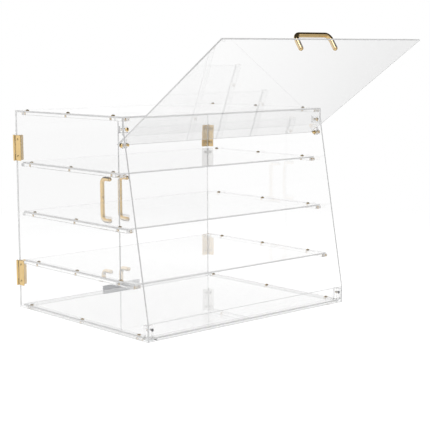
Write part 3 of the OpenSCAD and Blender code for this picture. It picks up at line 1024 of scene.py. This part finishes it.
class CASE_OT_panel_screws(bpy.types.Operator):
    """Make the screws that hold the panels and shelves."""

    bl_idname = "case.panel_screws"
    bl_label = "Panel screws"

    def execute(self, context):
        names = ("top_panel", "upper_shelf", "middle_shelf", "lower_shelf", "bottom_panel")
        for name in names:
            make_screws(name + "_screws", UP)
        make_screws("header_screws", FRONT)
        make_screws("front_lip_screws", FRONT, "dark_oxide")
        return {"FINISHED"}


# Shares of a nut's width across flats and of its height
NUT_FACE = 0.94
NUT_CHAMFER = 0.192


def add_nut(bm, box, place, bore):
    """Hexagon nut with turned chamfers on both faces."""
    low, high = box
    width, depth, tall = high - low
    flats = min(width, depth)
    turned = Matrix.Rotation(math.radians(30 if width > depth else 0), 4, "Z")
    face = flats / 2 * NUT_FACE
    rings = hexagon_rings(flats, face, 0, tall, NUT_CHAMFER * tall, (0.25, 0.6, 1))
    rings += bore_rings(bore, 0.25 * MM, 0, tall)
    add_rings(bm, rings, stand(place, box) @ turned, through=True)


# ---- Handles ----------------------------------------------------------------

HANDLE_BEND = 11 * MM
HANDLE_TAP = 2.05 * MM
HANDLE_TAP_DEPTH = 8 * MM
POST_CHAMFER = 0.3 * MM
BEND_STEPS = 14


def add_handle(bm, box, place):
    """Round bar bent into two posts, with a tapped bore in each foot."""
    low, high = box
    radius = (high.y - low.y) / 2
    half = half_width(box) - radius
    reach = high.z - radius
    foot = low.z
    centre = middle(box)
    points = 40

    def post(sign):
        """Rings of one post from the end of its bore to the bar."""

        def square(x, z, tilt, size):
            """Ring across the bar where it leans by tilt to the middle."""
            found = []
            for i in range(points):
                angle = TURN * i / points
                inward = size * math.cos(angle)
                found.append((
                    centre.x + sign * (x - inward * math.cos(tilt)),
                    centre.y + size * math.sin(angle),
                    z - inward * math.sin(tilt),
                ))
            return found

        rings = [
            square(half, foot + HANDLE_TAP_DEPTH, 0, HANDLE_TAP),
            square(half, foot + POST_CHAMFER, 0, HANDLE_TAP),
            square(half, foot, 0, HANDLE_TAP + POST_CHAMFER),
            square(half, foot, 0, radius - POST_CHAMFER),
            square(half, foot + POST_CHAMFER, 0, radius),
        ]
        for i in range(BEND_STEPS + 1):
            tilt = math.pi / 2 * i / BEND_STEPS
            x = half - HANDLE_BEND * (1 - math.cos(tilt))
            z = reach - HANDLE_BEND * (1 - math.sin(tilt))
            rings.append(square(x, z, tilt, radius))
        return rings

    add_rings(bm, post(-1) + post(1)[::-1], place)


class CASE_OT_handles(bpy.types.Operator):
    """Make the three handles and their screws."""

    bl_idname = "case.handles"
    bl_label = "Handles"

    def execute(self, context):
        upright = axes((0, 0, 1), (1, 0, 0))
        places = {"left_door": upright, "right_door": upright, "lid": LID_OUT}
        for name, place in places.items():
            bm = bmesh.new()
            add_handle(bm, box_in(name + "_handle", place), place)
            show(name + "_handle_bar", bm, name + "_handle", [finish("gold")])
            make_screws(name + "_handle_screws", LID_IN if name == "lid" else FRONT)
        return {"FINISHED"}


# ---- Hinges -----------------------------------------------------------------

LEAF_THICK = 1.2 * MM
LEAF_CORNER = 2 * MM
LEAF_ROUND = 0.15 * MM
PIN_BORE = 1.25 * MM
END_KNUCKLE = 14 * MM
KNUCKLE_GAP = 0.3 * MM
KNUCKLE_ROUND = 0.1 * MM
CURL_END = 380  # degrees, past a full turn by the width of the seam
ROOT_STEP = 0.05 * MM
PIN_SHANK = 1.2 * MM
PIN_HEAD = 1 * MM


def curl_outline(radius):
    """Profile of sheet metal rolled round the pin, open at its seam."""
    under = radius - LEAF_THICK
    inner_start = math.degrees(math.asin(under / PIN_BORE))
    root = 2 * radius
    outline = [Vector((root, under + ROOT_STEP)), Vector((root, radius - ROOT_STEP))]
    outline += arc((0, 0), radius, 90, CURL_END, 30)
    outline += arc((0, 0), PIN_BORE, CURL_END, inner_start, 30)
    return outline


def leaf_outline(half_height, reach, radius, own):
    """Outline of a leaf's flat. It runs under the barrel at its own knuckles
    and stops short of the other leaf's."""
    under = 0.5 * radius
    clear = radius + KNUCKLE_GAP
    corner = LEAF_CORNER
    outline = arc((reach - corner, corner - half_height), corner, -90, 0, 6)
    outline += arc((reach - corner, half_height - corner), corner, 0, 90, 6)
    steps = [(clear, half_height)]
    for low, high in reversed(own):
        steps += [(clear, high), (under, high), (under, low), (clear, low)]
    steps.append((clear, -half_height))
    for step in steps:
        if (Vector(step) - outline[-1]).length > 1e-9:
            outline.append(Vector(step))
    return outline


def make_leaf(node, place, reach, radius, own, screws):
    """Hinge leaf: a flat with two screw holes and its rolled knuckles."""
    half_height = height_of(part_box(node)) / 2
    bm = bmesh.new()
    flat = place @ axes((1, 0, 0), (0, 0, 1), (0, radius, 0))
    outline = leaf_outline(half_height, reach, radius, own)
    holes = [hole(point, SCREW_SIZES["M3"]["hole"] * MM) for point in screws]
    add_plate(bm, outline, holes, 0, LEAF_THICK, LEAF_ROUND, flat)
    for low, high in own:
        add_plate(bm, curl_outline(radius), [], low, high, KNUCKLE_ROUND, place)
    return show(node + "_plate", bm, node, [finish("hinge_gold")])


def add_pin(bm, box, place):
    """Hinge pin with a rounded head at each end."""
    head = half_width(box)
    tall = height_of(box)
    rings = []
    for turn in (20, 45, 70, 90):
        angle = math.radians(turn)
        rings.append(ring(head * math.sin(angle), PIN_HEAD * 0.8 * (1 - math.cos(angle))))
    rings += [ring(head, PIN_HEAD), ring(PIN_SHANK, PIN_HEAD)]
    rings += [[(x, y, tall - z) for x, y, z in points] for points in reversed(rings)]
    add_rings(bm, rings, stand(place, box))


class CASE_OT_hinges(bpy.types.Operator):
    """Make the door hinges: leaves, pins, screws and nuts."""

    bl_idname = "case.hinges"
    bl_label = "Door hinges"

    def execute(self, context):
        for side in ("left", "right"):
            self.make_side(side)
        return {"FINISHED"}

    def make_side(self, side):
        sign = 1 if side == "right" else -1
        pin = JOINT_AT[side + "_door_hinge"]
        for level in ("lower", "upper"):
            case_leaf = f"{side}_{level}_hinge_case_leaf"
            door_leaf = f"{side}_{level}_hinge_door_leaf"
            low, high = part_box(case_leaf)
            radius = abs(high.x - pin.x if sign > 0 else pin.x - low.x)
            reach = pin.y - low.y
            z = (low.z + high.z) / 2
            half = (high.z - low.z) / 2
            ends = [(-half, END_KNUCKLE - half), (half - END_KNUCKLE, half)]
            gap = END_KNUCKLE + KNUCKLE_GAP
            between = [(gap - half, half - gap)]
            at = Vector((pin.x, pin.y, z))
            # Each leaf's frame runs away from the pin, its Y towards the sheet
            case_place = axes((0, -1, 0), (-sign, 0, 0), at) @ Matrix.Diagonal((1, 1, -sign, 1))
            door_place = axes((-sign, 0, 0), (0, -1, 0), at) @ Matrix.Diagonal((1, 1, sign, 1))
            case_holes = self.holes_on(f"{side}_hinge_case_screws", case_place, half)
            door_holes = self.holes_on(f"{side}_hinge_door_screws", door_place, half)
            make_leaf(case_leaf, case_place, reach, radius, ends, case_holes)
            make_leaf(door_leaf, door_place, reach, radius, between, door_holes)
        show_set(side + "_hinge_pins", UP, add_pin, "hinge_gold")
        outward = RIGHT if side == "right" else LEFT
        bore = SCREW_SIZES["M3"]["hole"] * MM
        for name, place in (("case", outward), ("door", REAR)):
            hinge = f"{side}_hinge_{name}"
            make_screws(hinge + "_screws", place, "hinge_gold")
            show_set(hinge + "_nuts", place, lambda *nut: add_nut(*nut, bore), "hinge_gold")

    def holes_on(self, node, place, half):
        """Screw holes of the leaf at one height, in the leaf's own frame."""
        inverse = place.inverted()
        found = [inverse @ middle(box) for box in solids(node)]
        return [Vector((point.x, point.z)) for point in found if abs(point.z) < half]


# ---- Lid pivots -------------------------------------------------------------

WASHER_ROUND = 0.3 * MM
CAP_FLATS = 7 * MM
CAP_HEXAGON = 3.2 * MM  # its height
CAP_DOME = 3.2 * MM  # its radius
CAP_BORE_DEPTH = 5 * MM
CAP_CHAMFER = 0.45 * MM
CAP_MOUTH = 0.3 * MM


def add_washer(bm, box, place, bore):
    """Soft washer with rounded edges."""
    outside = half_width(box)
    tall = height_of(box)
    rings = [ring(outside - inset, z) for inset, z in rounded_rim(0, tall, WASHER_ROUND)]
    rings += [ring(bore, tall), ring(bore, 0)]
    add_rings(bm, rings, stand(place, box), through=True)


def add_cap_nut(bm, box, place, bore):
    """Cap nut: hexagon, flange line and a dome over a blind bore. Its open
    side is towards the frame's Z."""
    rings = [ring(bore, -CAP_BORE_DEPTH, SMOOTH), ring(bore, -CAP_MOUTH, SMOOTH)]
    rings.append(ring(bore + CAP_MOUTH, 0, SMOOTH))
    face = CAP_FLATS / 2 * 0.95
    rings += hexagon_rings(CAP_FLATS, face, 0, -CAP_HEXAGON, CAP_CHAMFER, (0.4, 1))
    rings.append(ring(CAP_DOME, -CAP_HEXAGON - 0.1 * MM, SMOOTH))
    base = height_of(box) - CAP_DOME
    for turn in range(0, 90, 10):
        angle = math.radians(turn)
        height = -base - CAP_DOME * math.sin(angle)
        rings.append(ring(CAP_DOME * math.cos(angle), height, SMOOTH))
    add_rings(bm, rings, stand(place, box, box[1].z))


class CASE_OT_pivots(bpy.types.Operator):
    """Make the lid's pivot screws, washers and cap nuts."""

    bl_idname = "case.pivots"
    bl_label = "Lid pivots"

    def execute(self, context):
        bore = SCREW_SIZES["pivot"]["hole"] * MM
        makers = {
            "lid_pivot_screws": (add_button_screw, "gold"),
            "lid_pivot_washers": (lambda *piece: add_washer(*piece, bore), "milky_rubber"),
            "lid_pivot_nuts": (lambda *piece: add_cap_nut(*piece, bore), "gold"),
        }
        for node, (add, material) in makers.items():
            bm = bmesh.new()
            add(bm, solids(node, LEFT)[-1], LEFT)
            add(bm, solids(node, RIGHT)[-1], RIGHT)
            show(node + "_set", bm, node, [finish(material)])
        return {"FINISHED"}


# ---- Feet, strike plate and magnets -----------------------------------------

FOOT_ROUND = 1.4 * MM
FOOT_TOP = 0.3 * MM
STRIKE_CORNER = 1.2 * MM
STRIKE_GAP = 0.03 * MM
STEEL_ROUND = 0.25 * MM


def add_foot(bm, box, place):
    """Soft foot with a rounded lower edge."""
    tall = height_of(box) - bpy.context.scene.case_sheet.air_gap
    outside = half_width(box)
    rings = []
    for turn in (0, 22, 45, 67, 90):
        angle = math.radians(turn)
        inset = FOOT_ROUND * (1 - math.sin(angle))
        rings.append(ring(outside - inset, FOOT_ROUND * (1 - math.cos(angle)), SMOOTH))
    rings.append(ring(outside, tall - FOOT_TOP, SMOOTH))
    rings.append(ring(outside - FOOT_TOP, tall, SMOOTH))
    add_rings(bm, rings, stand(place, box))


class CASE_OT_feet(bpy.types.Operator):
    """Make the soft feet under the bottom panel."""

    bl_idname = "case.feet"
    bl_label = "Feet"

    def execute(self, context):
        show_set("feet", UP, add_foot, "milky_rubber")
        return {"FINISHED"}


class CASE_OT_strike(bpy.types.Operator):
    """Make the steel strike plate and the magnets in the doors."""

    bl_idname = "case.strike"
    bl_label = "Strike plate and magnets"

    def execute(self, context):
        low, high = box_in("door_strike_plate", FRONT)
        corners = inset_outline(rectangle(low, high), STRIKE_CORNER)
        outline = []
        for i, corner in enumerate(corners):
            outline += arc(corner, STRIKE_CORNER, 180 + 90 * i, 270 + 90 * i, 5)
        bm = bmesh.new()
        add_plate(bm, outline, [], low.z + STRIKE_GAP, high.z, STEEL_ROUND, FRONT)
        show("door_strike_bar", bm, "door_strike_plate", [finish("brushed_steel")])
        for side in ("left", "right"):
            node = side + "_door_magnet"
            box = box_in(node, REAR)
            radius = half_width(box)
            bm = bmesh.new()
            rim = rounded_rim(box[0].z, box[1].z, STEEL_ROUND)
            rings = [ring(radius - inset, z, SMOOTH) for inset, z in rim]
            add_rings(bm, rings, stand(REAR, box, 0))
            show(node + "_disc", bm, node, [finish("nickel")])
        return {"FINISHED"}


# ---- Stage ------------------------------------------------------------------

PHOTO_PIXELS = 430
SENSOR = 36
FLOOR_RADIUS = 6
FLOOR_POINTS = 96
FLOOR_GREY = 0.35
FLOOR_GLOW = 0.72
FLOOR_BOUNCE = 0.8
FLOOR_FADE = (0.2, 0.9)
FLOOR_GLOSS = (0.95, 0.5)
SHADOW_RADIUS = (0.5, 1.6)
KEY_SIZE = 1.5
KEY_PLACE = Vector((-1.5, -1.5, 2.2))
KEY_AIM = Vector((0, 0, 0.2))

# The studio that metal and sheets mirror. Each dark part fades in over a
# range of the cosine between the way looked and one of the camera's own ways
STUDIO_WHITE = 1.03
FLAG_NEAR_SIDE = (0.35, 0.5)
FLAG_FAR_SIDE = (0.8, 0.65)
RIGHT_ACROSS = (0.1, 0.6)
RIGHT_AWAY = (0.1, -0.1)
RIGHT_DARK = 0.5
OVERHEAD = (0.17, 0.45)


def make_camera(settings):
    """Camera at the photograph's viewing angle."""
    turn, dip, lean = settings.turn, settings.dip, settings.lean
    ahead = Vector((math.sin(turn) * math.cos(dip), math.cos(turn) * math.cos(dip), -math.sin(dip)))
    level = Vector((math.cos(turn), -math.sin(turn), 0))
    over = level.cross(ahead)
    right = math.cos(lean) * level + math.sin(lean) * over
    up = math.cos(lean) * over - math.sin(lean) * level
    data = bpy.data.cameras.new("camera")
    data.sensor_fit = "HORIZONTAL"
    data.sensor_width = SENSOR
    data.lens = settings.focal_pixels / PHOTO_PIXELS * SENSOR
    camera = bpy.data.objects.new("camera", data)
    bpy.context.scene.collection.objects.link(camera)
    camera.matrix_world = axes(right, up, settings.eye)
    bpy.context.scene.camera = camera


def make_world(settings):
    """White all round; metal and sheets mirror a studio with dark flags."""
    world = bpy.data.worlds.new("daylight")
    bpy.context.scene.world = world
    recipe = Recipe(world)
    way = recipe.add("ShaderNodeTexCoord", output="Generated")
    rise = recipe.add("ShaderNodeSeparateXYZ", None, {0: way}, output="Z")
    turn = settings.turn
    away = recipe.along(way, (math.sin(turn), math.cos(turn), 0))
    across = recipe.along(way, (math.cos(turn), -math.sin(turn), 0))
    flags = recipe.between(away, *FLAG_NEAR_SIDE) * recipe.between(away, *FLAG_FAR_SIDE)
    right = recipe.between(across, *RIGHT_ACROSS) * recipe.between(away, *RIGHT_AWAY)
    open_side = STUDIO_WHITE - flags * settings.flag_dark - right * RIGHT_DARK
    studio = open_side * recipe.between(rise, *OVERHEAD, 1, settings.sky_dark)

    def glow(strength):
        inputs = {"Color": (1, 1, 1, 1), "Strength": strength}
        return recipe.add("ShaderNodeBackground", None, inputs)

    seen, gloss, light = glow(1), glow(studio), glow(settings.daylight)
    thrown = recipe.mix_shaders(recipe.light_path("Is Diffuse Ray"), gloss, light)
    recipe.surface(recipe.mix_shaders(recipe.by_mirror(), seen, thrown))


def make_floor():
    """White floor that keeps the case's shadow."""
    recipe = Recipe(bpy.data.materials.new("floor"))
    away = recipe.add("ShaderNodeTexCoord", output="Object")
    reach = recipe.add("ShaderNodeVectorMath", {"operation": "LENGTH"}, {0: away}, output="Value")
    near = recipe.between(reach, *SHADOW_RADIUS, 1, 0)

    def grey(strength):
        return recipe.add("ShaderNodeBsdfDiffuse", None, {"Color": rgba((strength,) * 3)})

    def glow(strength):
        return recipe.add("ShaderNodeEmission", None, {"Strength": strength})

    shaded = recipe.add("ShaderNodeAddShader", None, {0: grey(FLOOR_GREY), 1: glow(FLOOR_GLOW)})
    seen = recipe.mix_shaders(near, glow(1), shaded)
    right = recipe.add("ShaderNodeSeparateXYZ", None, {0: away}, output="X")
    fade = recipe.between(right, *FLOOR_FADE)
    gloss = recipe.mix_shaders(fade, *[glow(strength) for strength in FLOOR_GLOSS])
    thrown = recipe.mix_shaders(recipe.light_path("Is Diffuse Ray"), gloss, grey(FLOOR_BOUNCE))
    material = recipe.surface(recipe.mix_shaders(recipe.by_mirror(), seen, thrown))
    mesh = bpy.data.meshes.new("floor")
    mesh.from_pydata(ring(FLOOR_RADIUS, 0, FLOOR_POINTS), [], [list(range(FLOOR_POINTS))])
    mesh.materials.append(material)
    floor = bpy.data.objects.new("floor", mesh)
    bpy.context.scene.collection.objects.link(floor)


def make_key(settings):
    """Large soft lamp at the front left."""
    lamp = bpy.data.lights.new("key", "AREA")
    lamp.energy = settings.key_power
    lamp.size = KEY_SIZE
    key = bpy.data.objects.new("key", lamp)
    key.location = KEY_PLACE
    key.rotation_euler = (KEY_AIM - KEY_PLACE).to_track_quat("-Z", "Y").to_euler()
    key.light_linking.receiver_collection = bpy.data.collections.new(LAMP_FREE)
    bpy.context.scene.collection.objects.link(key)


class CASE_OT_stage(bpy.types.Operator):
    """Set up the camera, the lights and the floor."""

    bl_idname = "case.stage"
    bl_label = "Stage"

    def execute(self, context):
        scene = context.scene
        scene.view_settings.view_transform = "Standard"
        scene.cycles.max_bounces = 64
        scene.cycles.transmission_bounces = 64
        scene.cycles.glossy_bounces = 48
        scene.cycles.transparent_max_bounces = 64
        make_camera(scene.case_stage)
        make_world(scene.case_stage)
        make_floor()
        make_key(scene.case_stage)
        return {"FINISHED"}


# ---- Add-on -----------------------------------------------------------------

OPERATORS = (
    CASE_OT_stage, CASE_OT_panels, CASE_OT_doors, CASE_OT_lid, CASE_OT_rails,
    CASE_OT_blocks, CASE_OT_inserts, CASE_OT_panel_screws, CASE_OT_handles,
    CASE_OT_hinges, CASE_OT_pivots, CASE_OT_feet, CASE_OT_strike,
)
SETTINGS = {
    "case_sheet": SheetSettings,
    "case_metal": MetalSettings,
    "case_rubber": RubberSettings,
    "case_stage": StageSettings,
}


class CASE_PT_sidebar(bpy.types.Panel):
    """Lists what the add-on makes."""

    bl_idname = "CASE_PT_sidebar"
    bl_label = "Display case"
    bl_space_type = "VIEW_3D"
    bl_region_type = "UI"
    bl_category = "Display case"

    def draw(self, context):
        for name in SETTINGS:
            group = getattr(context.scene, name)
            column = self.layout.column(align=True)
            for setting in group.bl_rna.properties:
                if setting.identifier not in ("rna_type", "name"):
                    column.prop(group, setting.identifier)
        for operator in OPERATORS:
            self.layout.operator(operator.bl_idname)


def register():
    for kind in (*SETTINGS.values(), *OPERATORS, CASE_PT_sidebar):
        bpy.utils.register_class(kind)
    for name, kind in SETTINGS.items():
        setattr(bpy.types.Scene, name, PointerProperty(type=kind))


def unregister():
    for name in SETTINGS:
        delattr(bpy.types.Scene, name)
    for kind in (CASE_PT_sidebar, *reversed(OPERATORS), *SETTINGS.values()):
        bpy.utils.unregister_class(kind)


def main():
    register()
    for operator in OPERATORS:
        group, name = operator.bl_idname.split(".")
        getattr(getattr(bpy.ops, group), name)()


if __name__ == "__main__":
    main()
